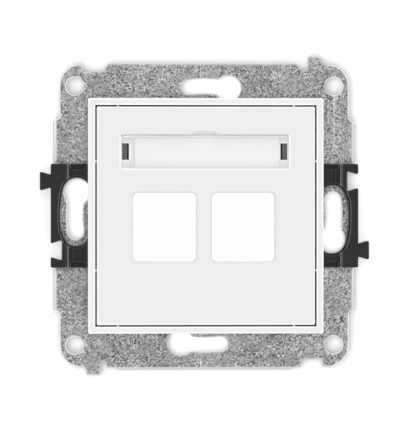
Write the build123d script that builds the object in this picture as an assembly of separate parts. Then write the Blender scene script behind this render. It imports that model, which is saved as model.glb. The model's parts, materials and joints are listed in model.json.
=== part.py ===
"""Double keystone insert for a flush wall box.

A stamped steel support plate carries two dovetail couplers and a moulded keystone carrier.
A square trim ring and a centre plate close the front, and a clear window covers a paper label.

Every piece is drawn lying on its back: x to the right, y up the wall and h out of the wall,
with h = 0 on the rear face of the support plate. The last step stands the pieces up,
so that the front looks along -Y and +Z is up.
"""

import os
from math import cos, radians, sin

from build123d import *

# Gang pitch of a row of inserts, from one coupler's outer face to the other's
coupler_span = 71.2

# Support plate, a blank of galvanised sheet with bent rims
plate_thickness = 1.0
plate_extra_height = 3.0
plate_corner_radius = 5.0
side_rim_overhang = 1.4
top_rim_overhang = 0.05
bottom_rim_overhang = 0.6
rim_depth = 2.0
rim_bend_radius = 1.2
side_rim_margin = 12.8
end_rim_margin = 13.4
shoulder_drop = 0.7
shoulder_tip = 0.5
corner_hole_margin = 3.6
corner_hole_diameter = 4.1
cutout_inset = 5.0
cutout_chamfer = 9.5

# Keyhole slots for the wall box screws, one on each side of the plate
keyhole_slot_width = 3.6
keyhole_head_diameter = 6.1
keyhole_head_angle = 10.6
keyhole_tail_angle = 7.1

# Lugs and notches that line up the plates of a vertical stack
lug_inset = 9.5
top_lug_width = 2.9
bottom_lug_width = 3.3
lug_reach = 1.7
top_lug_root_radius = 1.2
bottom_lug_root_radius = 0.3
top_lug_notch_width = 1.5
bottom_lug_notch_width = 1.25
lug_notch_depth = 1.55
lug_notch_radius = 0.6
top_mate_inset = 10.2
bottom_mate_inset = 11.0
mate_notch_width = 4.8
mate_notch_depth = 1.85
top_notch_slope = 1.1
bottom_notch_slope = 0.2

# Dovetail couplers at the sides
coupler_height = 24.0
coupler_spine = 2.0
coupler_reach = 8.6
coupler_thickness = 2.0
coupler_ring_clearance = 0.3
coupler_toe_clearance = 0.05
coupler_toe_height = 0.8
coupler_edge_clearance = 0.1
coupler_corner_radius = 0.4
tongue_reach = 2.5
tongue_root = 3.0
tongue_tip = 4.5
tongue_root_radius = 0.25
tongue_corner_radius = 0.35
dovetail_clearance = 0.05
socket_corner_radius = 0.3
socket_relief = 0.15
window_wall = 2.2
window_head_margin = 0.25
window_tail_radius = 3.0
window_tail_drop = 0.35
window_rebate_width = 0.45
window_rebate_depth = 1.2
ridge_inset = 3.75
ridge_width = 0.45
ridge_rise = 0.3
ridge_groove_width = 0.25
ridge_groove_depth = 0.4
panel_recess = 0.5
step_inset = 5.3
step_recess = 0.4
pocket_floor = 0.5
pocket_inset = 4.65
pocket_wall = 0.2
pocket_chamfer = 1.0
pocket_radius = 0.8
coupler_hook_width = 3.0
coupler_hook_set = 1.95
coupler_hook_drop = 1.65
coupler_hook_thickness = 0.7
coupler_hook_nib = 0.8
coupler_hook_play = 0.1

# Trim ring and centre plate
ring_wall = 1.6
ring_height = 9.0
ring_corner_radius = 0.4
ring_edge_radius = 0.2
reveal_gap = 0.35
centring_rib_width = 0.35
centring_rib_depth = 1.5
centring_rib_play = 0.05
centring_rib_drop = 0.3
centring_rib_end_inset = 5.2
centring_rib_side_inset = 12.9
centre_plate_thickness = 2.2
centre_plate_setback = 0.1
centre_plate_corner_radius = 0.35
centre_edge_radius = 0.2

# Keystone ports
port_width = 14.5
port_height = 15.8
port_corner_radius = 1.2
port_edge_chamfer = 0.25
port_bridge = 3.6
port_pair_x = -0.45
port_centre_y = -2.6
latch_depth = 8.3
latch_panel_thickness = 1.6
latch_opening_height = 19.3
jack_room_height = 22.6
jack_room_play = 0.65
sleeve_wall = 1.4
plug_depth = 1.0

# Keystone carrier
carrier_ring_clearance = 0.2
carrier_wall = 1.6
carrier_floor_thickness = 1.4
carrier_rest_gap = 0.1
carrier_plug_clearance = 0.2
carrier_corner_radius = 0.6
sleeve_rest_gap = 0.4
boss_inset = 2.5
boss_diameter = 6.0
boss_height = 5.0
rear_rib_depth = 1.8
rear_rib_width = 1.2
catch_length = 4.0
catch_reach = 0.45
catch_height = 1.2
catch_level = 3.2
catch_inset = 11.4
catch_play = 0.2

# Self-tapping screws that hold the carrier to the plate
screw_diameter = 2.8
screw_play = 0.05
screw_plate_hole_diameter = 3.3
screw_length = 5.2
screw_head_diameter = 5.2
screw_head_height = 1.6
screw_head_chamfer = 0.6
screw_cross_width = 0.8
screw_cross_span = 3.0
screw_cross_depth = 0.9

# Snap features on the rear of the centre plate
centre_rib_clearance = 0.3
centre_rib_width = 1.0
centre_rib_height = 1.2
leg_width = 5.0
leg_thickness = 1.1
leg_length = 4.6
leg_inset = 13.0
leg_clearance = 0.15
leg_tip_chamfer = 0.4

# Label field
label_margin = 5.8
label_height = 7.8
label_depth = 1.3
label_x = -0.25
label_drop = 10.3
thumb_width = 6.0
thumb_slope = 0.8
thumb_rise = 0.8
thumb_depth = 0.9
window_thickness = 0.95
window_play = 0.1
window_rest_gap = 0.02
window_edge_chamfer = 0.25
window_end_chamfer = 0.55
hook_slot_width = 1.6
hook_slot_height = 3.8
hook_slot_inset = 0.25
hook_thickness = 0.9
hook_play = 0.1
hook_reach = 1.6
paper_inset = 2.7
paper_height = 7.05
paper_thickness = 0.2
paper_x = 0.5
paper_side_gap = 0.03
paper_play = 0.02

# Levels above the rear face of the support plate
plate_front = plate_thickness
wall_level = plate_front - rim_depth
ring_front = plate_front + ring_height
centre_front = ring_front - centre_plate_setback
centre_back = centre_front - centre_plate_thickness
latch_front = centre_front - latch_depth
latch_back = latch_front - latch_panel_thickness
carrier_top = centre_back - carrier_rest_gap
carrier_floor_top = plate_front + carrier_floor_thickness
sleeve_top = centre_back - sleeve_rest_gap
label_floor = centre_front - label_depth
coupler_top = plate_front + coupler_thickness

# Sizes that follow from the driving ones
coupler_outer_x = coupler_span / 2
plate_width = coupler_span - 2 * coupler_spine
plate_height = plate_width + plate_extra_height
side_rim_length = plate_height - 2 * side_rim_margin
end_rim_length = plate_width - 2 * end_rim_margin
corner_hole_pitch = plate_width - 2 * corner_hole_margin
screw_circle_radius = corner_hole_pitch / 2
lug_start = plate_width / 2 - lug_inset
ring_size = coupler_span - 2 * coupler_reach
ring_inner = ring_size - 2 * ring_wall
cutout_width = ring_size - 2 * cutout_inset
boss_offset = cutout_width / 2 - boss_inset
centre_size = ring_inner - 2 * reveal_gap
catch_spread = ring_inner / 2 - catch_inset
leg_offset = centre_size / 2 - leg_inset
label_width = centre_size - 2 * label_margin
label_y = centre_size / 2 - label_drop
paper_width = label_width - 2 * paper_inset
paper_y = label_y - label_height / 2 + paper_side_gap + paper_height / 2
port_pitch = port_width + port_bridge
carrier_outer = ring_inner - 2 * carrier_ring_clearance
carrier_inner = carrier_outer - 2 * carrier_wall
jack_room_width = port_width + 2 * jack_room_play
coupler_inner_x = ring_size / 2 + coupler_ring_clearance
coupler_toe_x = ring_size / 2 + coupler_toe_clearance
coupler_seat_x = plate_width / 2 + coupler_edge_clearance
coupler_hook_x = coupler_inner_x + coupler_hook_set
coupler_hook_y = coupler_height / 2 - coupler_hook_drop
tongue_offset = coupler_height / 3
socket_mouth_radius = tongue_root_radius + dovetail_clearance
socket_floor_x = coupler_outer_x - tongue_reach - dovetail_clearance
coupler_window_radius = coupler_outer_x - window_wall
ridge_x = coupler_outer_x - ridge_inset
step_x = coupler_outer_x - step_inset
port_centres = [
    (port_pair_x + side * port_pitch / 2, port_centre_y) for side in (-1, 1)
]
corner_signs = [(1, 1), (-1, 1), (-1, -1), (1, -1)]


def prism(sketch, low, high):
    """Extrudes a sketch between two levels above the rear face of the plate."""
    return extrude(Pos(0, 0, low) * sketch, high - low)


def block(x_low, x_high, y_low, y_high):
    """A rectangle given by its four edges."""
    centre = Pos((x_low + x_high) / 2, (y_low + y_high) / 2)
    return centre * Rectangle(x_high - x_low, y_high - y_low)


def outline(*points):
    """A face bounded by straight lines through the points."""
    return make_face(Polyline(*points, close=True))


def half_turn(shape):
    """The same shape, turned half way round the middle of the insert."""
    return Rot(0, 0, 180) * shape


def on_screw_circle(angle):
    """A point on the screw circle, as x and y."""
    return (
        screw_circle_radius * cos(radians(angle)),
        screw_circle_radius * sin(radians(angle)),
    )


def keyhole():
    """The keyhole at the top of the plate: a curved slot with a round head on its right."""
    start = 90 - keyhole_head_angle
    path = CenterArc((0, 0), screw_circle_radius, start, keyhole_head_angle + keyhole_tail_angle)
    head = Pos(*on_screw_circle(start)) * Circle(keyhole_head_diameter / 2)
    return SlotArc(path, keyhole_slot_width) + head


def stack_features(lug_width, root_radius, lug_notch_width, mate_inset, slope):
    """Lug and notches of the top edge: what stands out of it and what is cut away."""
    edge = plate_height / 2
    mate_notch_start = plate_width / 2 - mate_inset
    beyond = edge + lug_reach
    lug = block(lug_start, lug_start + lug_width, edge - lug_notch_depth, beyond)
    root = Pos(lug_start + lug_width, edge) * outline((0, 0), (0, root_radius), (root_radius, 0))
    root -= Pos(lug_start + lug_width + root_radius, edge + root_radius) * Circle(root_radius)
    lug += root
    notch_low = edge - lug_notch_depth
    lug_notch = outline(
        (lug_start, notch_low),
        (lug_start, beyond),
        (lug_start - lug_notch_width - slope, beyond),
        (lug_start - lug_notch_width - slope, edge),
        (lug_start - lug_notch_width, notch_low),
    )
    inner_corner = lug_notch.vertices().sort_by_distance((lug_start, notch_low))[0]
    lug_notch = fillet(inner_corner, lug_notch_radius)
    mate_low = edge - mate_notch_depth
    mate_end = mate_notch_start + mate_notch_width
    mate_notch = outline(
        (-mate_notch_start, mate_low),
        (-mate_notch_start + slope, edge),
        (-mate_notch_start + slope, beyond),
        (-mate_end, beyond),
        (-mate_end, mate_low),
    )
    return lug, lug_notch + mate_notch


def rim_profile(half_span):
    """Section of a bent rim, from the flat of the plate to the rim's tip."""
    start = half_span - rim_bend_radius - plate_thickness
    profile = outline(
        (start, 0),
        (start, plate_front),
        (half_span, plate_front),
        (half_span, wall_level),
        (half_span - plate_thickness, wall_level),
        (half_span - plate_thickness, 0),
    )
    outer = profile.vertices().sort_by_distance((half_span, plate_front))[0]
    profile = fillet(outer, rim_bend_radius)
    inner = profile.vertices().sort_by_distance((half_span - plate_thickness, 0))[0]
    return fillet(inner, rim_bend_radius - plate_thickness)


def side_rim(low, high):
    """The bent rim on the right, between two heights on the wall."""
    section = Plane.XZ * rim_profile(plate_width / 2 + side_rim_overhang)
    return Pos(0, high, 0) * extrude(section, high - low)


def end_rim(overhang):
    """The bent rim along the top edge."""
    section = Plane.YZ * rim_profile(plate_height / 2 + overhang)
    return Pos(-end_rim_length / 2, 0, 0) * extrude(section, end_rim_length)


def cutout(clearance=0.0):
    """The eight-sided opening in the middle of the plate, or the plug that fits it."""
    side = cutout_width - 2 * clearance
    square = Rectangle(side, side)
    return chamfer(square.vertices(), cutout_chamfer)


def coupler_hook_slots(play=0.0):
    """The two slots for the hooks of the left coupler."""
    width = coupler_hook_width + 2 * play
    thickness = coupler_hook_thickness + 2 * play
    slots = Sketch()
    for side in (-1, 1):
        slots += Pos(-coupler_hook_x, side * coupler_hook_y) * Rectangle(width, thickness)
    return slots


def build_support_plate():
    """Flat blank with its holes, lugs and notches, then the bent rims."""
    blank = RectangleRounded(plate_width, plate_height, plate_corner_radius)
    lug, notches = stack_features(
        top_lug_width, top_lug_root_radius, top_lug_notch_width, top_mate_inset, top_notch_slope
    )
    blank = blank + lug - notches
    lug, notches = stack_features(
        bottom_lug_width,
        bottom_lug_root_radius,
        bottom_lug_notch_width,
        bottom_mate_inset,
        bottom_notch_slope,
    )
    blank = blank + half_turn(lug) - half_turn(notches)

    shoulder = side_rim_length / 2 - shoulder_drop
    scoop = side_rim_overhang
    point_x = plate_width / 2 + scoop
    ear = block(plate_width / 2 - rim_bend_radius, point_x, shoulder - shoulder_tip, shoulder + scoop)
    blank += ear - Pos(point_x, shoulder + scoop) * Circle(scoop)

    for quarter in range(4):
        blank -= Rot(0, 0, 90 * quarter) * keyhole()
    for x_sign, y_sign in corner_signs:
        corner = Pos(x_sign * corner_hole_pitch / 2, y_sign * corner_hole_pitch / 2)
        blank -= corner * Circle(corner_hole_diameter / 2)
        screw = Pos(x_sign * boss_offset, y_sign * boss_offset)
        blank -= screw * Circle(screw_plate_hole_diameter / 2)
    blank -= cutout()

    relief_half = tongue_tip / 2 + dovetail_clearance + socket_relief
    relief = block(
        -coupler_outer_x,
        -socket_floor_x + socket_relief,
        -tongue_offset - relief_half,
        -tongue_offset + relief_half,
    )
    hook_slots = coupler_hook_slots(coupler_hook_play)
    blank -= relief + half_turn(relief) + hook_slots + half_turn(hook_slots)
    plate = prism(blank, 0, plate_front)

    rim_start = coupler_height / 2 + coupler_edge_clearance
    lower_rim = side_rim(-side_rim_length / 2, -rim_start)
    upper_left_rim = half_turn(lower_rim)
    upper_right_rim = side_rim(rim_start, side_rim_length / 2 - shoulder_drop)
    lower_left_rim = half_turn(side_rim(rim_start, side_rim_length / 2))
    plate += lower_rim + upper_left_rim + upper_right_rim + lower_left_rim
    return plate + end_rim(top_rim_overhang) + half_turn(end_rim(bottom_rim_overhang))


def dovetail(reach, root, tip):
    """A dovetail that grows from the side face of the left coupler, pointing left."""
    base = -coupler_outer_x
    return outline(
        (base, -root / 2),
        (base - reach, -tip / 2),
        (base - reach, tip / 2),
        (base, root / 2),
    )


def coupler_tongue():
    """The tongue of the left coupler, with its two outer corners rounded."""
    tongue = Pos(0, tongue_offset) * dovetail(tongue_reach, tongue_root, tongue_tip)
    tips = tongue.vertices().sort_by(Axis.X)[:2]
    return fillet(tips, tongue_corner_radius)


def coupler_socket():
    """The room that the tongue of a neighbour takes in the left coupler."""
    depth = tongue_reach + dovetail_clearance
    mouth = tongue_root + 2 * dovetail_clearance
    inner = tongue_tip + 2 * dovetail_clearance
    socket = outline(
        (-coupler_outer_x, -tongue_offset - mouth / 2),
        (-coupler_outer_x + depth, -tongue_offset - inner / 2),
        (-coupler_outer_x + depth, -tongue_offset + inner / 2),
        (-coupler_outer_x, -tongue_offset + mouth / 2),
    )
    return fillet(socket.vertices().sort_by(Axis.X)[-2:], socket_corner_radius)


def coupler_window():
    """The opening round the keyhole on the left."""
    head_x, head_y = on_screw_circle(180 - keyhole_head_angle)
    tail_x, tail_y = on_screw_circle(180 + keyhole_tail_angle)
    sweep = Circle(coupler_window_radius) & block(-coupler_outer_x, 0, tail_y, head_y)
    head = Pos(head_x, head_y) * Circle(keyhole_head_diameter / 2 + window_head_margin)
    tail = Pos(tail_x, tail_y - window_tail_drop) * Circle(window_tail_radius)
    return sweep + head + tail


def coupler_relief():
    """What the front of an arm is cut back by: panels, a step, a groove and the two pockets."""
    half = coupler_height / 2
    pocket_start = coupler_hook_y + coupler_hook_thickness / 2
    pocket_x = -coupler_outer_x + pocket_inset
    panel = block(-ridge_x + ridge_width, -coupler_inner_x, -half, half)
    relief = prism(panel, coupler_top - panel_recess, coupler_top)
    groove = block(-ridge_x - ridge_groove_width, -ridge_x, -half, half)
    relief += prism(groove, coupler_top - ridge_groove_depth, coupler_top)
    step = block(-step_x, -coupler_inner_x, -pocket_start, -window_tail_radius)
    relief += prism(step, coupler_top - panel_recess - step_recess, coupler_top)
    upper = block(pocket_x, -coupler_inner_x, pocket_start, half)
    low_corner = upper.vertices().sort_by_distance((-coupler_inner_x, pocket_start))[0]
    upper = chamfer(low_corner, pocket_chamfer)
    inner_end = -coupler_inner_x - pocket_wall
    lower = block(pocket_x, inner_end, -half, -pocket_start)
    lower = fillet(lower.vertices().sort_by_distance((inner_end, -pocket_start))[0], pocket_radius)
    return relief + prism(upper + lower, plate_front + pocket_floor, coupler_top)


def build_coupler():
    """The left coupler: spine, two arms, tongue, socket and two hooks through the plate."""
    half = coupler_height / 2
    arms = block(-coupler_outer_x, -coupler_inner_x, -half, half)
    outer_corners = arms.vertices().sort_by(Axis.X)[:2]
    arms = fillet(outer_corners, coupler_corner_radius)
    window = coupler_window()
    upper = arms + coupler_tongue() - coupler_socket()
    mouth = tongue_root / 2 + dovetail_clearance
    for side in (-1, 1):
        lip = (-coupler_outer_x, -tongue_offset + side * mouth)
        upper = fillet(upper.vertices().sort_by_distance(lip)[0], socket_mouth_radius)
        root = (-coupler_outer_x, tongue_offset + side * tongue_root / 2)
        upper = fillet(upper.vertices().sort_by_distance(root)[0], tongue_root_radius)
    outline_face = upper
    upper = outline_face - window

    spine = block(-coupler_outer_x - tongue_reach, -coupler_seat_x, -half, half)
    coupler = prism(upper, plate_front, coupler_top) + prism(outline_face & spine, wall_level, plate_front)

    rebate = offset(window, window_rebate_width)
    ridge = block(-ridge_x, -ridge_x + ridge_width, -half, half) - rebate
    coupler -= coupler_relief()
    coupler -= prism(rebate, coupler_top - window_rebate_depth, coupler_top)
    coupler += prism(ridge, coupler_top - ridge_rise, coupler_top + ridge_rise)
    toe = block(-coupler_inner_x, -coupler_toe_x, -half, half) - window
    coupler += prism(toe, plate_front, plate_front + coupler_toe_height)

    pocket_start = coupler_hook_y + coupler_hook_thickness / 2
    nib = outline(
        (pocket_start, -plate_thickness),
        (pocket_start + coupler_hook_nib, -coupler_hook_play),
        (pocket_start, -coupler_hook_play),
    )
    hook_low = -coupler_hook_x - coupler_hook_width / 2
    nib = Pos(hook_low, 0, 0) * extrude(Plane.YZ * nib, coupler_hook_width)
    coupler += prism(coupler_hook_slots(), -plate_thickness, plate_front)
    return coupler + nib + mirror(nib, Plane.XZ)


def build_trim_ring():
    """Square tube that stands on the plate, with a recess for each catch of the carrier."""
    outer = RectangleRounded(ring_size, ring_size, ring_corner_radius)
    ring = prism(outer, plate_front, ring_front)
    ring = fillet(ring.faces().sort_by(Axis.Z)[-1].outer_wire().edges(), ring_edge_radius)
    ring -= prism(Rectangle(ring_inner, ring_inner), plate_front, ring_front)
    for catch in catches(catch_play):
        ring -= catch
    return ring + prism(centring_ribs(), ring_front - centring_rib_depth, ring_front - centring_rib_drop)


def centring_ribs():
    """Two thin ribs on each inner wall of the ring, which keep the gap to the centre plate even."""
    reach = reveal_gap - centring_rib_play
    wall = ring_inner / 2
    ribs = Sketch()
    for side in (-1, 1):
        for end in (-1, 1):
            end_x = side * (wall - centring_rib_end_inset)
            side_y = side * (wall - centring_rib_side_inset)
            ribs += Pos(end_x, end * (wall - reach / 2)) * Rectangle(centring_rib_width, reach)
            ribs += Pos(end * (wall - reach / 2), side_y) * Rectangle(reach, centring_rib_width)
    return ribs


def catches(play=0.0):
    """Two wedges on each side of the carrier, or the recesses for them in the ring."""
    start = carrier_outer / 2 - catch_play
    reach = carrier_outer / 2 + catch_reach + play
    low = plate_front + catch_level - play
    high = low + catch_height + 2 * play
    section = outline(
        (start, low),
        (reach, low),
        (reach, low + catch_height / 3 + play),
        (start + catch_play + play / 2, high),
        (start, high),
    )
    length = catch_length + 2 * play
    wedge = extrude(Plane.XZ * section, length / 2, both=True)
    return [
        Rot(0, 0, 90 * quarter) * Pos(0, side * catch_spread, 0) * wedge
        for quarter in range(4)
        for side in (-1, 1)
    ]


def jack_room():
    """Plan of the room behind each port, where the latch of a jack moves."""
    rooms = Sketch()
    for centre in port_centres:
        rooms += Pos(*centre) * Rectangle(jack_room_width, jack_room_height)
    return rooms


def build_keystone_carrier():
    """Tray between the plate and the centre plate, with a sleeve behind each port."""
    outer = RectangleRounded(carrier_outer, carrier_outer, carrier_corner_radius)
    carrier = prism(outer, plate_front, carrier_top)
    carrier -= prism(Rectangle(carrier_inner, carrier_inner), carrier_floor_top, carrier_top)
    plug_back = plate_front - plug_depth
    carrier += prism(cutout(carrier_plug_clearance), plug_back, plate_front)

    for centre in port_centres:
        sleeve = Rectangle(jack_room_width + 2 * sleeve_wall, jack_room_height + 2 * sleeve_wall)
        carrier += prism(Pos(*centre) * sleeve, latch_back, sleeve_top)
    boss_top = plate_front + boss_height
    for x_sign, y_sign in corner_signs:
        place = Pos(x_sign * boss_offset, y_sign * boss_offset)
        carrier += prism(place * Circle(boss_diameter / 2), plate_front, boss_top)
        bore = place * Circle(screw_diameter / 2 + screw_play)
        carrier -= prism(bore, plug_back, screw_length + 2 * screw_play)

    carrier -= prism(jack_room(), latch_front, sleeve_top)
    for centre in port_centres:
        latch_opening = Pos(*centre) * Rectangle(jack_room_width, latch_opening_height)
        carrier -= prism(latch_opening, plug_back, carrier_floor_top)
        carrier -= prism(latch_opening, latch_back, latch_front)

    rib_length = jack_room_height
    side_step = jack_room_width / 2 + sleeve_wall / 2 + port_pitch / 2
    for x in (port_pair_x - side_step, port_pair_x, port_pair_x + side_step):
        rib = Pos(x, port_centre_y) * Rectangle(rear_rib_width, rib_length)
        carrier += prism(rib, latch_back - rear_rib_depth, latch_back)
    for catch in catches():
        carrier += catch
    return carrier


def build_carrier_screw(x, y):
    """Pan-head screw driven from behind, with a cross recess in its head."""
    place = Pos(x, y)
    shank = prism(place * Circle(screw_diameter / 2), 0, screw_length)
    shank = chamfer(shank.faces().sort_by(Axis.Z)[-1].edges(), screw_diameter / 4)
    head = prism(place * Circle(screw_head_diameter / 2), -screw_head_height, 0)
    head = chamfer(head.faces().sort_by(Axis.Z)[0].edges(), screw_head_chamfer)
    cross = Rectangle(screw_cross_span, screw_cross_width)
    cross += Rectangle(screw_cross_width, screw_cross_span)
    recess = prism(place * cross, -screw_head_height, -screw_head_height + screw_cross_depth)
    return shank + head - recess


def label_hook_slots(inset, width, height):
    """A rectangle at each end of the label field."""
    slots = Sketch()
    for side in (-1, 1):
        x = label_x + side * (label_width / 2 - inset - width / 2)
        slots += Pos(x, label_y) * Rectangle(width, height)
    return slots


def thumb_notch():
    """The nail notch above the label field, deepest at the field's edge."""
    base = label_y + label_height / 2
    mouth = thumb_width / 2
    shape = outline(
        (label_x - mouth, base),
        (label_x + mouth, base),
        (label_x + mouth - thumb_slope, base + thumb_rise),
        (label_x - mouth + thumb_slope, base + thumb_rise),
    )
    return prism(shape, centre_front - thumb_depth, centre_front)


def build_centre_plate():
    """Front plate with two ports, the label field and the snap features behind it."""
    face = RectangleRounded(centre_size, centre_size, centre_plate_corner_radius)
    plate = prism(face, centre_back, centre_front)
    plate = fillet(plate.faces().sort_by(Axis.Z)[-1].outer_wire().edges(), centre_edge_radius)

    for centre in port_centres:
        port = RectangleRounded(port_width, port_height, port_corner_radius)
        plate -= prism(Pos(*centre) * port, centre_back, centre_front)
    rims = plate.faces().sort_by(Axis.Z)[-1].inner_wires()
    plate = chamfer([edge for wire in rims for edge in wire.edges()], port_edge_chamfer)

    field = Pos(label_x, label_y) * Rectangle(label_width, label_height)
    plate -= prism(field, label_floor, centre_front)
    slots = label_hook_slots(hook_slot_inset, hook_slot_width, hook_slot_height)
    plate -= prism(slots, centre_back, label_floor)
    plate -= thumb_notch()

    rib_outer = carrier_inner - 2 * centre_rib_clearance
    rib_inner = rib_outer - 2 * centre_rib_width
    rib = Rectangle(rib_outer, rib_outer) - Rectangle(rib_inner, rib_inner)
    plate += prism(rib, centre_back - centre_rib_height, centre_back)

    leg_outer = carrier_inner / 2 - leg_clearance
    leg_tip = centre_back - leg_length
    leg_section = outline(
        (leg_outer - leg_thickness, centre_back),
        (leg_outer, centre_back),
        (leg_outer, leg_tip + leg_tip_chamfer),
        (leg_outer - leg_tip_chamfer, leg_tip),
        (leg_outer - leg_thickness, leg_tip),
    )
    leg = extrude(Plane.YZ * leg_section, leg_width / 2, both=True)
    for x in (-leg_offset, leg_offset):
        upper_leg = Pos(x, 0, 0) * leg
        plate += upper_leg + half_turn(upper_leg)
    return plate


def build_label_strip():
    """Paper label that lies on the floor of the label field."""
    strip = Pos(label_x + paper_x, paper_y) * Rectangle(paper_width, paper_height)
    base = label_floor + paper_play
    return prism(strip, base, base + paper_thickness)


def build_label_window():
    """Clear cover over the label, with a hook through the slot at each end."""
    width = label_width - 2 * window_play
    height = label_height - 2 * window_play
    sag = window_rest_gap - window_play
    face = Pos(label_x, label_y + sag) * Rectangle(width, height)
    pane_back = centre_front - window_thickness
    window = prism(face, pane_back, centre_front)
    rim = window.faces().sort_by(Axis.Z)[-1].edges()
    window = chamfer(rim.filter_by(Axis.X), window_edge_chamfer)
    ends = window.faces().sort_by(Axis.Z)[-1].edges().filter_by(Axis.Y)
    window = chamfer(ends, window_end_chamfer)
    hooks = label_hook_slots(
        hook_slot_inset + hook_play,
        hook_thickness,
        hook_slot_height - 2 * hook_play,
    )
    return window + prism(Pos(0, sag) * hooks, pane_back - hook_reach, pane_back)


def stand_up(shape):
    """Turns a piece that lies on its back so that its front looks along -Y."""
    wall = Plane(origin=(0, 0, 0), x_dir=(1, 0, 0), z_dir=(0, -1, 0))
    return wall.location * shape


def build_all():
    """Every piece of the insert by name, lying on its back."""
    coupler = build_coupler()
    pieces = {
        "support_plate": build_support_plate(),
        "coupler_left": coupler,
        "coupler_right": half_turn(coupler),
        "keystone_carrier": build_keystone_carrier(),
        "trim_ring": build_trim_ring(),
        "centre_plate": build_centre_plate(),
        "label_strip": build_label_strip(),
        "label_window": build_label_window(),
    }
    for number, (x_sign, y_sign) in enumerate(corner_signs, start=1):
        screw = build_carrier_screw(x_sign * boss_offset, y_sign * boss_offset)
        pieces[f"carrier_screw_{number}"] = screw
    return pieces


os.makedirs("parts", exist_ok=True)
for name, piece in build_all().items():
    export_step(stand_up(piece), f"parts/{name}.step")
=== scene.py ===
"""Looks of the double keystone insert: its finishes, softened edges, studio light and camera.

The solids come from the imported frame, in metres: -Y looks out of the wall, +Z is up.
"""

from __future__ import annotations

import json
import logging
import math
from dataclasses import dataclass, field
from enum import Enum
from typing import Any, Iterable, Mapping, Sequence, Union

import bpy
from mathutils import Euler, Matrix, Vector

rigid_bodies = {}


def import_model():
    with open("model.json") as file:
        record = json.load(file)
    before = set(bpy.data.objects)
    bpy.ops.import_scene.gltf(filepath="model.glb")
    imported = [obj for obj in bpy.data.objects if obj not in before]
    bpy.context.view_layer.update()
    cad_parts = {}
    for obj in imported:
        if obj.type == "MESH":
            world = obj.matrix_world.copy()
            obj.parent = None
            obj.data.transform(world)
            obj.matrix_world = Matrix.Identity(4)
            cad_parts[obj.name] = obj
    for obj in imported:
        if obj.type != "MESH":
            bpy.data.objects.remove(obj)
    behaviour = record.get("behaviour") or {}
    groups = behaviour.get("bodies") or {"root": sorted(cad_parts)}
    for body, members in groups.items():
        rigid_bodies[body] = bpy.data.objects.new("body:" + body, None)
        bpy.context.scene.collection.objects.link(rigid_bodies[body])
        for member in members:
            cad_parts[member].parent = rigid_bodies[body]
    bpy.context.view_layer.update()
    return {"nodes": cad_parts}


LOG = logging.getLogger("keystone_insert")
MM = 0.001
LOW, MIDDLE, HIGH = 0.3, 0.5, 0.7  # of a noise's values

Colour = tuple[float, float, float]
Value = Union["Wire", float]
Tint = Union["Wire", Colour]
Stops = Sequence[tuple[float, Colour]]
Nodes = Mapping[str, bpy.types.Object]


class Operation(Enum):
    """What a maths node works out."""

    ADD = "ADD"
    SUBTRACT = "SUBTRACT"
    MULTIPLY = "MULTIPLY"
    MULTIPLY_ADD = "MULTIPLY_ADD"
    ABSOLUTE = "ABSOLUTE"
    BELOW = "LESS_THAN"
    ABOVE = "GREATER_THAN"


class Ray(Enum):
    """The light rays that a piece of the stage can be hidden from."""

    DIFFUSE = "visible_diffuse"
    GLOSSY = "visible_glossy"
    THROUGH = "visible_transmission"
    HAZE = "visible_volume_scatter"
    SHADOW = "visible_shadow"


def grey(level: float) -> Colour:
    """A neutral colour."""
    return (level, level, level)


def toned(colour: Colour, by: float) -> Colour:
    """A colour made darker or lighter, and never lighter than white."""
    return tuple(min(1.0, channel * by) for channel in colour)


class Wire:
    """A shader socket that can be used in number maths.

    Args:
        recipe: The recipe whose nodes the maths adds to.
        socket: The output socket that carries the value.
    """

    def __init__(self, recipe: Recipe, socket: bpy.types.NodeSocket) -> None:
        """Keeps the recipe and the socket."""
        self.recipe = recipe
        self.socket = socket

    def _maths(self, operation: Operation, first: Value, second: Value) -> Wire:
        """Adds one Math node."""
        settings = {"operation": operation.value}
        return self.recipe.node("ShaderNodeMath", settings, {0: first, 1: second})["Value"]

    def __add__(self, other: Value) -> Wire:
        """This value plus another."""
        return self._maths(Operation.ADD, self, other)

    def __radd__(self, other: Value) -> Wire:
        """Another value plus this one."""
        return self._maths(Operation.ADD, other, self)

    def __sub__(self, other: Value) -> Wire:
        """This value less another."""
        return self._maths(Operation.SUBTRACT, self, other)

    def __rsub__(self, other: Value) -> Wire:
        """Another value less this one."""
        return self._maths(Operation.SUBTRACT, other, self)

    def __mul__(self, other: Value) -> Wire:
        """This value times another."""
        return self._maths(Operation.MULTIPLY, self, other)

    def __rmul__(self, other: Value) -> Wire:
        """Another value times this one."""
        return self._maths(Operation.MULTIPLY, other, self)

    def __lt__(self, other: Value) -> Wire:
        """One where this value is below the other, else nought."""
        return self._maths(Operation.BELOW, self, other)

    def __gt__(self, other: Value) -> Wire:
        """One where this value is above the other, else nought."""
        return self._maths(Operation.ABOVE, self, other)

    def __abs__(self) -> Wire:
        """This value without its sign."""
        return self._maths(Operation.ABSOLUTE, self, 0.0)

    def stretch(
        self, low: float, high: float, out_low: float = 0.0, out_high: float = 1.0
    ) -> Wire:
        """Maps a range of this value on to another range, smoothly and without passing it.

        Args:
            low: The value that gives out_low.
            high: The value that gives out_high.
            out_low: The result at the low end.
            out_high: The result at the high end.

        Returns:
            The mapped value.
        """
        settings = {"interpolation_type": "SMOOTHSTEP", "clamp": True}
        ends = {"From Min": low, "From Max": high, "To Min": out_low, "To Max": out_high}
        return self.recipe.node("ShaderNodeMapRange", settings, {"Value": self, **ends})["Result"]


class Made:
    """A node that has been added, giving its outputs by name or number.

    Args:
        recipe: The recipe that it was added to.
        node: The node.
    """

    def __init__(self, recipe: Recipe, node: bpy.types.Node) -> None:
        """Keeps the recipe and the node."""
        self.recipe = recipe
        self.node = node

    def __getitem__(self, name: Union[str, int]) -> Wire:
        """The named output."""
        return Wire(self.recipe, self.node.outputs[name])


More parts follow.
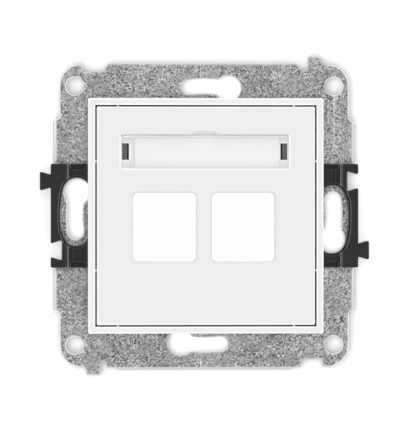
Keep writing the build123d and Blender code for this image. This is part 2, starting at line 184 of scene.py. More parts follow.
class Recipe:
    """A material under construction."""

    SOFT_SAMPLES = 6
    SOFT_START = 0.16
    CRISP_SAMPLES = 32
    CRISP_START = 0.7
    HOLLOW_RANGE = (0.15, 0.75)

    def __init__(self, name: str) -> None:
        """Starts an empty material.

        Args:
            name: The material's name.
        """
        self.material = bpy.data.materials.new(name)
        self.material.use_nodes = True
        self.tree = self.material.node_tree
        self.tree.nodes.clear()

    def node(
        self,
        kind: str,
        settings: Mapping[str, Any] | None = None,
        inputs: Mapping[Union[str, int], Any] | None = None,
    ) -> Made:
        """Adds a node, sets it up, then fills its inputs.

        Args:
            kind: The node's type.
            settings: Its properties, and "stops" for a ramp's positions and colours.
            inputs: A value or a wire for each socket, by name or number.

        Returns:
            The node that was added.
        """
        node = self.tree.nodes.new(kind)
        for key, value in (settings or {}).items():
            if key == "stops":
                self._set_stops(node.color_ramp, value)
            else:
                setattr(node, key, value)
        for key, value in (inputs or {}).items():
            socket = node.inputs[key]
            if isinstance(value, Wire):
                self.tree.links.new(value.socket, socket)
            elif socket.type == "RGBA" and len(value) == 3:
                socket.default_value = (*value, 1.0)
            else:
                socket.default_value = value
        return Made(self, node)

    @staticmethod
    def _set_stops(ramp: bpy.types.ColorRamp, stops: Stops) -> None:
        """Gives a ramp its positions and colours.

        Args:
            ramp: The ramp, with one or two stops to begin with.
            stops: The position and the colour of each stop, from low to high.
        """
        while len(ramp.elements) < len(stops):
            ramp.elements.new(1.0)
        for element, (position, colour) in zip(ramp.elements, stops):
            element.position = position
            element.color = (*colour, 1.0)

    def place(self) -> Wire:
        """The point on the surface, in metres in the shared frame."""
        return self.node("ShaderNodeTexCoord")["Object"]

    def axes(self, place: Wire) -> tuple[Wire, Wire, Wire]:
        """The three coordinates of a place."""
        parts = self.node("ShaderNodeSeparateXYZ", None, {"Vector": place})
        return parts["X"], parts["Y"], parts["Z"]

    def vector_maths(self, operation: Operation, *inputs: Any) -> Wire:
        """Adds one Vector Math node."""
        settings = {"operation": operation.value}
        return self.node("ShaderNodeVectorMath", settings, dict(enumerate(inputs)))["Vector"]

    def scaled(self, place: Wire, by: Sequence[float]) -> Wire:
        """A place stretched along the axes."""
        return self.vector_maths(Operation.MULTIPLY, place, tuple(by))

    def noise(
        self, place: Wire, size: float, detail: float = 3.0, distortion: float = 0.0
    ) -> Wire:
        """Soft random values whose spots are about the given size in metres."""
        inputs = {"Vector": place, "Scale": 1 / size, "Detail": detail, "Distortion": distortion}
        return self.node("ShaderNodeTexNoise", None, inputs)["Fac"]

    def warped(self, place: Wire, size: float, amount: float) -> Wire:
        """A place pushed about by noise.

        Args:
            place: The place to push.
            size: How large the waves are, in metres.
            amount: How far they push, in metres.

        Returns:
            The pushed place.
        """
        inputs = {"Vector": place, "Scale": 1 / size, "Detail": 2.0}
        noise = self.node("ShaderNodeTexNoise", None, inputs)["Color"]
        centred = self.vector_maths(Operation.SUBTRACT, noise, grey(MIDDLE))
        return self.vector_maths(Operation.MULTIPLY_ADD, centred, grey(amount), place)

    def crystals(self, place: Wire, size: float) -> tuple[Wire, Wire]:
        """A pattern of crystals.

        Args:
            place: The point on the surface.
            size: About how large a crystal is, in metres.

        Returns:
            Two random values for each crystal, from nought to one.
        """
        settings = {"feature": "F1", "voronoi_dimensions": "3D"}
        inputs = {"Vector": place, "Scale": 1 / size}
        return self.axes(self.node("ShaderNodeTexVoronoi", settings, inputs)["Color"])[:2]

    def tones(self, value: Wire, stops: Stops) -> Wire:
        """Colours picked by a value."""
        return self.node("ShaderNodeValToRGB", {"stops": stops}, {"Fac": value})["Color"]

    def mottled(self, value: Wire, colour: Colour, shade: float, high: float = HIGH) -> Wire:
        """A colour that is darker by the given share where a noise is low."""
        return self.tones(value, [(LOW, toned(colour, shade)), (high, colour)])

    def layered(self, under: Tint, over: Tint, share: Value) -> Wire:
        """One colour over another."""
        settings = {"data_type": "RGBA", "blend_type": "MIX", "clamp_factor": True}
        return self.node("ShaderNodeMix", settings, {0: share, 6: under, 7: over})[2]

    def edges(self, width: float, full: float = 0.5, crisp: bool = False) -> Wire:
        """One along outward corners, fading to nought about the given width away.

        Args:
            width: How far it reaches, in metres.
            full: The share of near surface inside that counts as a full corner.
            crisp: True for a line with a clear end, False for one that fades.

        Returns:
            The mask.
        """
        samples = self.CRISP_SAMPLES if crisp else self.SOFT_SAMPLES
        start = self.CRISP_START if crisp else self.SOFT_START
        settings = {"inside": True, "only_local": True, "samples": samples}
        made = self.node("ShaderNodeAmbientOcclusion", settings, {"Distance": width})
        return (1.0 - made["AO"]).stretch(full * start, full)

    def hollows(self, reach: float, own: bool = True) -> Wire:
        """One deep in narrow hollows, nought in the open.

        Args:
            reach: How far the walls that count may be, in metres.
            own: True where only the piece's own walls count.

        Returns:
            The mask.
        """
        settings = {"inside": False, "only_local": own, "samples": self.SOFT_SAMPLES}
        made = self.node("ShaderNodeAmbientOcclusion", settings, {"Distance": reach})
        return (1.0 - made["AO"]).stretch(*self.HOLLOW_RANGE)

    def facing(self) -> Wire:
        """How squarely the surface faces straight out of or into the wall."""
        normal = self.node("ShaderNodeTexCoord")["Normal"]
        return abs(self.axes(normal)[1])

    def relief(self, height: Wire, depth: float, strength: float) -> Wire:
        """A bumped normal.

        Args:
            height: The relief, from nought to one.
            depth: How deep it is, in metres.
            strength: How much of it is used.

        Returns:
            The normal.
        """
        inputs = {"Height": height, "Distance": depth, "Strength": strength}
        return self.node("ShaderNodeBump", None, inputs)["Normal"]

    def finished(self, inputs: Mapping[str, Any]) -> bpy.types.Material:
        """Closes the recipe with its surface shader.

        Args:
            inputs: A value or a wire for each socket of the shader, by name.

        Returns:
            The material.
        """
        surface = self.node("ShaderNodeBsdfPrincipled", None, inputs)
        self.node("ShaderNodeOutputMaterial", None, {"Surface": surface["BSDF"]})
        return self.material


def between(value: Wire, low: float, high: float) -> Wire:
    """One where a value in metres lies between two ends in mm, else nought."""
    return abs(value - (low + high) / 2 * MM) < (high - low) / 2 * MM


@dataclass(frozen=True)
class Scratch:
    """A straight scribed line up the front of the plate, in millimetres.

    Args:
        x: Its place across the plate.
        z_low: Its lower end.
        z_high: Its upper end.
        width: Its width.
    """

    x: float
    z_low: float
    z_high: float
    width: float = 0.24

    def mask(self, recipe: Recipe, place: Wire) -> Wire:
        """One on the line, else nought.

        Args:
            recipe: The material under construction.
            place: The point on the surface.

        Returns:
            The mask.
        """
        x, _, z = recipe.axes(place)
        across = abs(x - self.x * MM) < self.width * MM / 2
        return across * between(z, self.z_low, self.z_high)


@dataclass(frozen=True)
class Area:
    """A rectangle on the front and its mirror image on the other side, in millimetres.

    Args:
        x_low: Its near side's distance from the middle.
        x_high: Its far side's distance from the middle.
        z_low: Its lower end.
        z_high: Its upper end.
    """

    x_low: float
    x_high: float
    z_low: float
    z_high: float

    def mask(self, recipe: Recipe, place: Wire) -> Wire:
        """One inside the rectangles, else nought."""
        x, _, z = recipe.axes(place)
        return between(abs(x), self.x_low, self.x_high) * between(z, self.z_low, self.z_high)


@dataclass(frozen=True)
class PaintedEdgeShading:
    """Painted light on outward corners: a lighter colour for a highlight, a darker one for shade,
    against the faces beside them.

    Args:
        colour: The painted colour, lighter than the faces for a highlight and darker for shade.
        width: How far it reaches from the corner, in metres.
        share: How much of it shows.
        area: The only place that has it, or None for everywhere.
        full: How sharp a corner must be to have all of it.
        crisp: True for a line with a clear end, False for one that fades.
    """

    colour: Colour
    width: float
    share: float = 1.0
    area: Area | None = None
    full: float = 0.5
    crisp: bool = False

    def laid_over(self, recipe: Recipe, place: Wire, base: Wire, where: Value = 1.0) -> Wire:
        """The base colour with the painted highlight or shade on the corners.

        Args:
            recipe: The material under construction.
            place: The point on the surface.
            base: The colour so far.
            where: A further mask, or one number for everywhere.

        Returns:
            The new colour.
        """
        share = recipe.edges(self.width, self.full, self.crisp) * self.share * where
        if self.area:
            share = share * self.area.mask(recipe, place)
        return recipe.layered(base, self.colour, share)


@dataclass(frozen=True)
class Marks:
    """How strongly strokes or gleams show on the sheet.

    Args:
        spacing: About how far apart they are, in metres.
        plain: Their strength on the plain sheet.
        clustered: What a cluster adds to it.
        drift: What the slow change over the sheet adds to it.
        line_width: How far from its middle a line reaches, as a share of the noise's range.
        breaks: From where to where in the noise's range the lines break off.
    """

    spacing: float
    plain: float
    clustered: float
    drift: float = 0.0
    line_width: float = 0.085
    breaks: tuple[float, float] = (0.46, 0.57)

    def lines(self, recipe: Recipe, place: Wire) -> Wire:
        """Short crooked lines, broken up along their length.

        Args:
            recipe: The material under construction.
            place: The point on the surface.

        Returns:
            One on the lines, fading to nought beside them.
        """
        wander = recipe.noise(place, self.spacing, 1.0, 1.2)
        breaks = recipe.noise(place, self.spacing * 0.8, 1.0).stretch(*self.breaks)
        return (1.0 - abs(wander - MIDDLE).stretch(0.0, self.line_width)) * breaks


@dataclass(frozen=True)
class GalvanisedSteel:
    """Hot-dipped sheet: faint zinc crystals under a felt of short dark strokes and bright flecks.

    Args:
        name: The material's name.
        dark: The grey of the darkest strokes.
        middle: The grey of the plain sheet.
        bright: The grey of the brightest flecks.
        scribed: The grey of the scribed lines.
        bend_highlight: The grey of the painted highlight where the sheet turns away from flat.
        edge_highlight: The painted highlight along the stamped edges.
        edge_highlight_top: How much of that highlight the top and bottom edges have, as the light
            falls from the sides.
        edge_highlight_sides: From where to where the side edges come to have all of it, in metres.
        shaded: How much painted shade darkens the sheet in the hollow beside another piece.
        shade_reach: How far away that piece may be, in metres.
        wave: The size of the waves that make the pattern ragged, in metres.
        push: How far they push it, in metres.
        crystal: The size of a zinc crystal, in metres.
        crystal_share: How much the crystals differ in tone.
        cluster: The size of a cluster of heavy marks, in metres.
        fleck: The size of a fleck, in metres.
        slant: How far the flecks lean to the left or the right.
        patch: The size of a dull patch, in metres.
        patch_share: How much darker such a patch is.
        contrast: What a patch and what a cluster add to the contrast of the flecks.
        plain: Where the plain sheet lies between dark and bright.
        drift: The size of the slow change over the sheet, in metres.
        drift_share: How much that change darkens the sheet.
        fall: How much that change grows down the sheet, for each metre: painted shade that darkens
            the sheet towards the bottom.
        strokes: The dark strokes.
        gleams: The bright gleams.
        scratches: The scribed lines.
        metallic: How much like bare metal it looks.
        roughness: The roughness of the darkest strokes.
        gloss: How much smoother the brightest flecks are.
        relief: The depth of the pattern, in metres.
    """

    PATCHED = (0.35, 0.65)
    CLUSTERED = (0.42, 0.62)
    LEANING = (0.42, 0.58)
    EDGE_ON = (0.1, 0.45)
    FLAT = (0.9, 0.985)

    name: str = "galvanised_steel"
    dark: float = 0.09
    middle: float = 0.35
    bright: float = 0.72
    scribed: float = 0.8
    bend_highlight: float = 0.62
    edge_highlight: PaintedEdgeShading = PaintedEdgeShading(grey(0.86), 0.8 * MM, full=0.34, crisp=True)
    edge_highlight_top: float = 0.3
    edge_highlight_sides: tuple[float, float] = (25 * MM, 32 * MM)
    shaded: float = 0.55
    shade_reach: float = 2.5 * MM
    wave: float = 0.7 * MM
    push: float = 0.5 * MM
    crystal: float = 1.9 * MM
    crystal_share: float = 0.08
    cluster: float = 3.2 * MM
    fleck: float = 0.22 * MM
    slant: float = 0.9
    patch: float = 1.0 * MM
    patch_share: float = 0.08
    contrast: tuple[float, float] = (0.5, 1.5)
    plain: float = 0.54
    drift: float = 12 * MM
    drift_share: float = 0.1
    fall: float = 5.0
    strokes: Marks = Marks(0.7 * MM, plain=0.4, clustered=0.5, drift=0.3)
    gleams: Marks = Marks(0.62 * MM, plain=0.12, clustered=0.4)
    scratches: tuple[Scratch, ...] = ()
    metallic: float = 0.85
    roughness: float = 0.5
    gloss: float = 0.2
    relief: float = 0.04 * MM

    def make(self) -> bpy.types.Material:
        """Builds the material.

        Returns:
            The finished material.
        """
        recipe = Recipe(self.name)
        place = recipe.place()
        ragged = recipe.warped(place, self.wave, self.push)
        crystal_tone, crystal_lean = recipe.crystals(ragged, self.crystal)
        flecks = self._felt(recipe, ragged, crystal_lean)
        tone = self._tone(recipe, place, ragged, flecks, crystal_tone)
        stops = [(0.1, grey(self.dark)), (0.5, grey(self.middle)), (0.9, grey(self.bright))]
        base = recipe.tones(tone, stops)
        groove = sum(line.mask(recipe, place) for line in self.scratches)
        groove = groove * flecks.stretch(0.35, 0.6, 0.25, 1.0)
        base = recipe.layered(base, grey(self.scribed), groove)
        # Painted highlight where the sheet turns away from flat, at its bends and edges.
        base = recipe.layered(base, grey(self.bend_highlight), self._bend_highlight_mask(recipe) * (0.7 + flecks * 0.5))
        # Painted highlight along the stamped edges, full on the side edges and weaker on the top
        # and bottom ones.
        sides = abs(recipe.axes(place)[0]).stretch(*self.edge_highlight_sides, self.edge_highlight_top)
        base = self.edge_highlight.laid_over(recipe, place, base, sides)
        # Painted shade in the hollow beside another piece.
        shade = recipe.hollows(self.shade_reach, own=False) * self.shaded
        base = recipe.layered(base, grey(self.dark), shade)
        height = tone * 0.8 + crystal_lean * 0.2 - groove * 0.6
        return recipe.finished(
            {
                "Base Color": base,
                "Metallic": self.metallic,
                "Roughness": self.roughness - tone * self.gloss,
                "Normal": recipe.relief(height, self.relief, 0.3),
            }
        )

    def _tone(
        self, recipe: Recipe, place: Wire, ragged: Wire, flecks: Wire, crystal_tone: Wire
    ) -> Wire:
        """The pattern of the sheet, from nought where it is dark to one where it is bright.

        Args:
            recipe: The material under construction.
            place: The point on the surface.
            ragged: The same point, pushed about.
            flecks: The felt of flecks.
            crystal_tone: The tone of each crystal.

        Returns:
            The tone.
        """
        strokes = self.strokes.lines(recipe, ragged)
        gleams = self.gleams.lines(recipe, recipe.scaled(ragged, (1.0, 1.0, -1.0)))
        flattened = recipe.scaled(ragged, (0.55, 1.0, 1.0))
        patches = recipe.noise(flattened, self.patch, 2.0, 0.5).stretch(*self.PATCHED)
        clusters = recipe.noise(place, self.cluster, 1.0, 0.6).stretch(*self.CLUSTERED)
        contrast = 1.0 + patches * self.contrast[0] + clusters * self.contrast[1]
        tone = (flecks - MIDDLE) * contrast + (crystal_tone - MIDDLE) * self.crystal_share
        tone = tone - patches * self.patch_share + self.plain
        height = recipe.axes(place)[2]
        # The slow change is random, plus painted shade that grows towards the bottom of the sheet;
        # it also makes the dark strokes heavier there.
        drift = (recipe.noise(place, self.drift, 1.0) - MIDDLE) * 2.0 - height * self.fall
        darker = self.strokes.plain + clusters * self.strokes.clustered
        darker = strokes * (darker + drift * self.strokes.drift)
        brighter = gleams * (self.gleams.plain + clusters * self.gleams.clustered)
        return tone - darker + brighter - drift * self.drift_share

    def _felt(self, recipe: Recipe, place: Wire, lean: Wire) -> Wire:
        """Short flecks that lean to the left in some crystals and to the right in the others.

        Args:
            recipe: The material under construction.
            place: The point on the surface.
            lean: A random value for each crystal.

        Returns:
            The flecks, from nought to one.
        """
        leaning = []
        for angle in (-self.slant, self.slant):
            inputs = {"Vector": place, "Angle": angle}
            settings = {"rotation_type": "Y_AXIS"}
            turned = recipe.node("ShaderNodeVectorRotate", settings, inputs)["Vector"]
            drawn_out = recipe.scaled(turned, (1.0, 1.0, 0.4))
            leaning.append(recipe.noise(drawn_out, self.fleck, 2.0, 0.6))
        leftward = lean.stretch(*self.LEANING)
        return leaning[0] * leftward + leaning[1] * (1.0 - leftward)

    def _bend_highlight_mask(self, recipe: Recipe) -> Wire:
        """Where the painted highlight goes: one where the sheet turns away from flat, at its bends
        and stamped edges, else nought.
        """
        facing = recipe.facing()
        return facing.stretch(*self.EDGE_ON) * (1.0 - facing.stretch(*self.FLAT))


@dataclass(frozen=True)
class MouldedPlastic:
    """Injection-moulded plastic with a fine tool texture and a little gloss variation, and painted
    light and shade on its corners and in its hollows.

    Args:
        name: The material's name.
        colour: Its colour.
        roughness: Its mean roughness.
        specular: How strongly it reflects.
        mottle: How much its colour varies.
        cloud: The size of its clouds, in metres.
        scuff: The size of its scuffs, in metres.
        grain: The size of the tool texture, in metres.
        grain_depth: The depth of that texture, in metres.
        edges: The painted highlights and painted shade on its outward corners, laid over each other
            in this order.
        painted_hollow_colour: The colour painted deep in narrow hollows: dark ones give painted
            shade, light ones painted light that cancels the shade there.
        painted_hollow_reach: How far the walls of a hollow may be, in metres.
        painted_hollow_share: How much of that colour shows.
    """

    name: str
    colour: Colour
    roughness: float
    specular: float
    mottle: float
    grain: float
    grain_depth: float
    edges: tuple[PaintedEdgeShading, ...]
    # Black by default: painted shade deep in hollows.
    painted_hollow_colour: Colour = grey(0.0)
    painted_hollow_reach: float = 0.6 * MM
    painted_hollow_share: float = 0.9
    cloud: float = 9 * MM
    scuff: float = 1.4 * MM

    def make(self) -> bpy.types.Material:
        """Builds the material.

        Returns:
            The finished material.
        """
        recipe = Recipe(self.name)
        place = recipe.place()
        cloud = recipe.noise(place, self.cloud, 3.0)
        speck = recipe.noise(place, self.grain, 2.0)
        shade, light = toned(self.colour, 1 - self.mottle), toned(self.colour, 1 + self.mottle)
        base = recipe.tones(cloud * 0.7 + speck * 0.3, [(LOW, shade), (HIGH, light)])
        # Painted highlights and painted shade on the outward corners.
        for edge in self.edges:
            base = edge.laid_over(recipe, place, base)
        # Painted shade in the hollows for a dark hollow colour, painted light for a light one.
        share = recipe.hollows(self.painted_hollow_reach) * self.painted_hollow_share
        base = recipe.layered(base, self.painted_hollow_colour, share)
        scuff = recipe.noise(recipe.scaled(place, (1.0, 1.0, 3.0)), self.scuff, 5.0, 0.6)
        rough = scuff.stretch(0.35, 0.75, self.roughness * 0.85, self.roughness * 1.2)
        return recipe.finished(
            {
                "Base Color": base,
                "Roughness": rough + speck * 0.04,
                "Specular IOR Level": self.specular,
                "Normal": recipe.relief(speck * 0.6 + cloud * 0.4, self.grain_depth, 0.6),
            }
        )


@dataclass(frozen=True)
class PaperStock:
    """Uncoated label paper with short fibres.

    Args:
        name: The material's name.
        colour: Its colour.
        fibre: The size of a fibre, in metres.
        cloud: The size of its clouds, in metres.
        shade: How dark the clouds and fibres are beside the plain colour.
        roughness: Its lowest and highest roughness.
        specular: How strongly it reflects.
        relief: The depth of the fibres, in metres.
    """

    name: str = "white_paper"
    colour: Colour = (0.88, 0.88, 0.875)
    fibre: float = 0.25 * MM
    cloud: float = 5 * MM
    shade: float = 0.965
    roughness: tuple[float, float] = (0.82, 0.94)
    specular: float = 0.25
    relief: float = 0.02 * MM

    def make(self) -> bpy.types.Material:
        """Builds the material.

        Returns:
            The finished material.
        """
        recipe = Recipe(self.name)
        place = recipe.place()
        fibres = recipe.noise(recipe.scaled(place, (0.35, 1.0, 1.6)), self.fibre, 4.0, 0.8)
        pulp = fibres * 0.6 + recipe.noise(place, self.cloud, 2.0) * 0.4
        return recipe.finished(
            {
                "Base Color": recipe.mottled(pulp, self.colour, self.shade, 0.62),
                "Roughness": fibres.stretch(LOW, HIGH, *self.roughness),
                "Specular IOR Level": self.specular,
                "Normal": recipe.relief(fibres, self.relief, 0.5),
            }
        )


@dataclass(frozen=True)
class ClearPlastic:
    """Clear moulded plastic: nearly invisible face on, and glassy at its edges.

    Args:
        name: The material's name.
        tint: Its colour.
        face: How much of it shows face on.
        edge: How much of it shows edge on.
        rim: How much its corners show.
        rim_width: How wide they are, in metres.
        rim_from: The height above which they show, in metres.
        band: How much the strip under its top edge shows: painted light, a pale layer over the
            shaded strip there.
        band_from: The height at which that strip begins, in metres.
        crest: How much the painted shade along its top edge shows.
        crest_from: The height at which that edge begins, in metres.
        top_shade_colour: The dark colour of the painted shade along its top edge.
        hook: How much its hooks show.
        hook_front: The depth behind which they begin, in metres.
        wear: The size of the fine scratches, in metres.
        shade: How dark the scratches are beside the plain colour.
        roughness: Its lowest and highest roughness.
        refraction: Its index of refraction.
        specular: How strongly it reflects.
        relief: The depth of the fine scratches, in metres.
    """

    name: str = "clear_plastic"
    tint: Colour = (0.93, 0.94, 0.95)
    face: float = 0.012
    edge: float = 0.6
    rim: float = 0.5
    rim_width: float = 0.16 * MM
    rim_from: float = 11.6 * MM
    band: float = 0.4
    band_from: float = 17.95 * MM
    crest: float = 0.5
    crest_from: float = 18.66 * MM
    top_shade_colour: Colour = grey(0.25)
    hook: float = 0.2
    hook_front: float = -8.6 * MM
    wear: float = 0.8 * MM
    shade: float = 0.96
    roughness: tuple[float, float] = (0.04, 0.12)
    refraction: float = 1.49
    specular: float = 0.6
    relief: float = 0.004 * MM

    def make(self) -> bpy.types.Material:
        """Builds the material.

        Returns:
            The finished material.
        """
        recipe = Recipe(self.name)
        place = recipe.place()
        _, depth, height = recipe.axes(place)
        wear = recipe.noise(recipe.scaled(place, (1.0, 1.0, 5.0)), self.wear, 4.0)
        slant = recipe.node("ShaderNodeLayerWeight", None, {"Blend": 0.35})["Facing"]
        hooks = depth > self.hook_front
        # Painted shade along the top edge, with a pale band of painted light under it.
        crest = height > self.crest_from
        band = (height > self.band_from) * (1.0 - crest)
        rim = recipe.edges(self.rim_width) * (height > self.rim_from)
        seen = slant.stretch(0.3, 1.0, self.face, self.edge) + hooks * self.hook
        seen = seen + rim * self.rim + band * self.band + crest * self.crest
        base = recipe.mottled(wear, self.tint, self.shade)
        return recipe.finished(
            {
                "Base Color": recipe.layered(base, self.top_shade_colour, crest),
                "Roughness": wear.stretch(LOW, HIGH, *self.roughness),
                "IOR": self.refraction,
                "Specular IOR Level": self.specular,
                "Alpha": seen,
                "Normal": recipe.relief(wear, self.relief, 0.3),
            }
        )


@dataclass(frozen=True)
class PlatedScrew:
    """Bright zinc plating over a turned and pressed head.

    Args:
        name: The material's name.
        colour: Its colour.
        shade: How dark the bloom is beside that.
        bloom: The size of the dull bloom, in metres.
        brush: The size of the turning marks, in metres.
        metallic: How much like bare metal it looks.
        roughness: Its lowest and highest roughness.
        relief: The depth of the turning marks, in metres.
    """

    name: str = "plated_screw"
    colour: Colour = (0.52, 0.53, 0.55)
    shade: float = 0.72
    bloom: float = 0.9 * MM
    brush: float = 0.2 * MM
    metallic: float = 0.95
    roughness: tuple[float, float] = (0.24, 0.42)
    relief: float = 0.01 * MM

    def make(self) -> bpy.types.Material:
        """Builds the material.

        Returns:
            The finished material.
        """
        recipe = Recipe(self.name)
        place = recipe.place()
        bloom = recipe.noise(place, self.bloom, 4.0)
        brush = recipe.noise(recipe.scaled(place, (1.0, 5.0, 1.0)), self.brush, 3.0)
        plating = bloom * 0.7 + brush * 0.3
        return recipe.finished(
            {
                "Base Color": recipe.mottled(plating, self.colour, self.shade, 0.66),
                "Metallic": self.metallic,
                "Roughness": bloom.stretch(LOW, HIGH, *self.roughness),
                "Normal": recipe.relief(brush, self.relief, 0.4),
            }
        )


@dataclass(frozen=True)
class StudioFloor:
    """Pale matt floor.

    Args:
        name: The material's name.
        colour: Its colour.
        shade: How dark its clouds are beside that.
        cloud: The size of its clouds, in metres.
        roughness: Its roughness.
        specular: How strongly it reflects.
    """

    name: str = "studio_floor"
    colour: Colour = grey(1.0)
    shade: float = 0.99
    cloud: float = 0.4
    roughness: float = 0.9
    specular: float = 0.1

    def make(self) -> bpy.types.Material:
        """Builds the material.

        Returns:
            The finished material.
        """
        recipe = Recipe(self.name)
        cloud = recipe.noise(recipe.place(), self.cloud, 2.0)
        return recipe.finished(
            {
                "Base Color": recipe.mottled(cloud, self.colour, self.shade),
                "Roughness": self.roughness,
                "Specular IOR Level": self.specular,
            }
        )


@dataclass(frozen=True)
class StudioCard:
    """Matt white card that is clear from behind, so that it never hides the back of the insert.

    Args:
        name: The material's name.
        colour: Its colour.
        shade: How dark its clouds are beside that.
        cloud: The size of its clouds, in metres.
        keyhole_painted_light: Its lighter colour behind the keyholes: painted light that makes up
            for the little light that reaches it there.
        keyholes: Where that is.
    """

    name: str = "studio_card"
    colour: Colour = grey(0.45)
    shade: float = 0.995
    cloud: float = 0.3
    keyhole_painted_light: Colour = grey(0.6)
    keyholes: tuple[Area, ...] = (
        Area(0.0, 20.0, -33.4, 33.4),
        Area(20.0, 32.8, -12.0, 12.0),
    )

    def make(self) -> bpy.types.Material:
        """Builds the material.

        Returns:
            The finished material.
        """
        recipe = Recipe(self.name)
        place = recipe.place()
        cloud = recipe.noise(place, self.cloud, 2.0)
        base = recipe.mottled(cloud, self.colour, self.shade)
        # Painted light behind the keyholes.
        for area in self.keyholes:
            base = recipe.layered(base, self.keyhole_painted_light, area.mask(recipe, place))
        behind = recipe.node("ShaderNodeNewGeometry")["Backfacing"]
        return recipe.finished(
            {
                "Base Color": base,
                "Roughness": 1.0,
                "Specular IOR Level": 0.0,
                "Alpha": 1.0 - behind,
            }
        )


@dataclass(frozen=True)
class SoftEdge:
    """The small radius that moulding or stamping leaves on an edge.

    Args:
        width: The radius in metres.
        segments: How many steps round it.
        least_angle: The smallest corner that is softened, in degrees.
        weld: How near two points are to be one, in metres.
    """

    width: float
    segments: int = 2
    least_angle: float = 40.0
    weld: float = 1e-6

    def put_on(self, node: bpy.types.Object) -> None:
        """Adds the modifiers that round the edges of a node.

        Args:
            node: The CAD node, whose mesh stays as it is.
        """
        weld = node.modifiers.new("weld", "WELD")
        weld.merge_threshold = self.weld
        bevel = node.modifiers.new("soft_edge", "BEVEL")
        bevel.width = self.width
        bevel.segments = self.segments
        bevel.limit_method = "ANGLE"
        bevel.angle_limit = math.radians(self.least_angle)
        bevel.use_clamp_overlap = True
        bevel.harden_normals = False


def dress(node: bpy.types.Object, material: bpy.types.Material) -> None:
    """Gives a node its finish.

    Args:
        node: The CAD node.
        material: The finish.
    """
    node.data.materials.clear()
    node.data.materials.append(material)
    LOG.info("%s wears %s", node.name, material.name)


@dataclass
class SupportPlate:
    """The stamped sheet-steel plate.

    Args:
        scratches: The lines scribed on its front.
        edge: How its stamped edges are rounded.
    """

    scratches: tuple[Scratch, ...] = (
        Scratch(30.1, 16.1, 27.9),
        Scratch(-0.9, 32.0, 35.0),
        Scratch(-0.9, -34.6, -33.0),
    )
    edge: SoftEdge = SoftEdge(0.3 * MM, segments=3)

    def build(self, nodes: Nodes) -> None:
        """Dresses the plate and rounds its stamped edges.

        Args:
            nodes: The CAD nodes by name.
        """
        steel = GalvanisedSteel(scratches=self.scratches).make()
        dress(nodes["support_plate"], steel)
        self.edge.put_on(nodes["support_plate"])


@dataclass
class BlackMouldings:
    """The two couplers and the carrier behind the white front.

    Args:
        couplers: The couplers' names.
        carrier: The carrier's name.
        edge: How the couplers' edges are rounded.
        highlit_ridges: Where the couplers' raised ridge gets a painted highlight.
        highlit_rims: Where the rim round each window gets a painted highlight.
    """

    couplers: tuple[str, ...] = ("coupler_left", "coupler_right")
    carrier: str = "keystone_carrier"
    edge: SoftEdge = SoftEdge(0.12 * MM)
    highlit_ridges: Area = Area(31.0, 32.0, -12.0, 12.0)
    highlit_rims: Area = Area(32.6, 34.4, -8.0, 9.5)

    def build(self, nodes: Nodes) -> None:
        """Dresses the black pieces and softens the couplers' edges.

        Args:
            nodes: The CAD nodes by name.
        """
        black = MouldedPlastic(
            name="black_plastic",
            colour=grey(0.022),
            roughness=0.36,
            specular=0.16,
            mottle=0.12,
            grain=0.1 * MM,
            grain_depth=0.01 * MM,
            # Painted highlights on the corners, brighter on the ridges and the window rims; the
            # default hollow colour paints shade deep in hollows.
            edges=(
                PaintedEdgeShading(grey(0.12), 0.22 * MM, 0.8),
                PaintedEdgeShading(grey(0.26), 0.3 * MM, area=self.highlit_ridges),
                PaintedEdgeShading(grey(0.2), 0.3 * MM, area=self.highlit_rims),
            ),
        ).make()
        for name in (*self.couplers, self.carrier):
            dress(nodes[name], black)
        for name in self.couplers:
            self.edge.put_on(nodes[name])


@dataclass
class WhiteFront:
    """The trim ring and the centre plate.

    Args:
        pieces: Their names.
        edge: How their edges are rounded.
        shaded_label_top: Where the label field's upper edge gets painted shade in place of the
            painted highlight of the other edges.
        ports: Where the ports' chamfered edges get painted shade.
    """

    pieces: tuple[str, ...] = ("trim_ring", "centre_plate")
    edge: SoftEdge = SoftEdge(0.07 * MM)
    shaded_label_top: Area = Area(0.0, 18.9, 18.4, 21.0)
    ports: Area = Area(0.8, 17.5, -11.2, 6.0)

    def build(self, nodes: Nodes) -> None:
        """Dresses the white pieces and softens their edges.

        Args:
            nodes: The CAD nodes by name.
        """
        white = MouldedPlastic(
            name="white_plastic",
            colour=(0.772, 0.774, 0.776),
            roughness=0.36,
            specular=0.45,
            mottle=0.008,
            grain=0.16 * MM,
            grain_depth=0.002 * MM,
            # Painted highlights on the corners, with painted shade at the label field's upper edge
            # and round the ports.
            edges=(
                PaintedEdgeShading(grey(0.94), 0.95 * MM, full=0.34, crisp=True),
                PaintedEdgeShading(grey(0.755), 0.95 * MM, area=self.shaded_label_top, full=0.34, crisp=True),
                PaintedEdgeShading(grey(0.6), 0.45 * MM, area=self.ports, full=0.3),
            ),
            # Painted light deep in hollows that cancels the shade there.
            painted_hollow_colour=grey(0.97),
            painted_hollow_reach=2.0 * MM,
            painted_hollow_share=0.95,
        ).make()
        for name in self.pieces:
            dress(nodes[name], white)
            self.edge.put_on(nodes[name])


@dataclass
class LabelField:
    """The paper strip and its clear window.

    Args:
        strip: The strip's name.
        window: The window's name.
    """

    strip: str = "label_strip"
    window: str = "label_window"

    def build(self, nodes: Nodes) -> None:
        """Dresses the paper and the window."""
        dress(nodes[self.strip], PaperStock().make())
        dress(nodes[self.window], ClearPlastic().make())


@dataclass
class CarrierScrews:
    """The screws behind, numbered from one.

    Args:
        count: How many there are.
    """

    count: int = 4

    def build(self, nodes: Nodes) -> None:
        """Dresses the screws.

        Args:
            nodes: The CAD nodes by name.
        """
        plating = PlatedScrew().make()
        for number in range(1, self.count + 1):
            dress(nodes[f"carrier_screw_{number}"], plating)


def add_to_scene(piece: bpy.types.Object) -> bpy.types.Object:
    """Puts an object in the scene and gives it back."""
    bpy.context.scene.collection.objects.link(piece)
    return piece


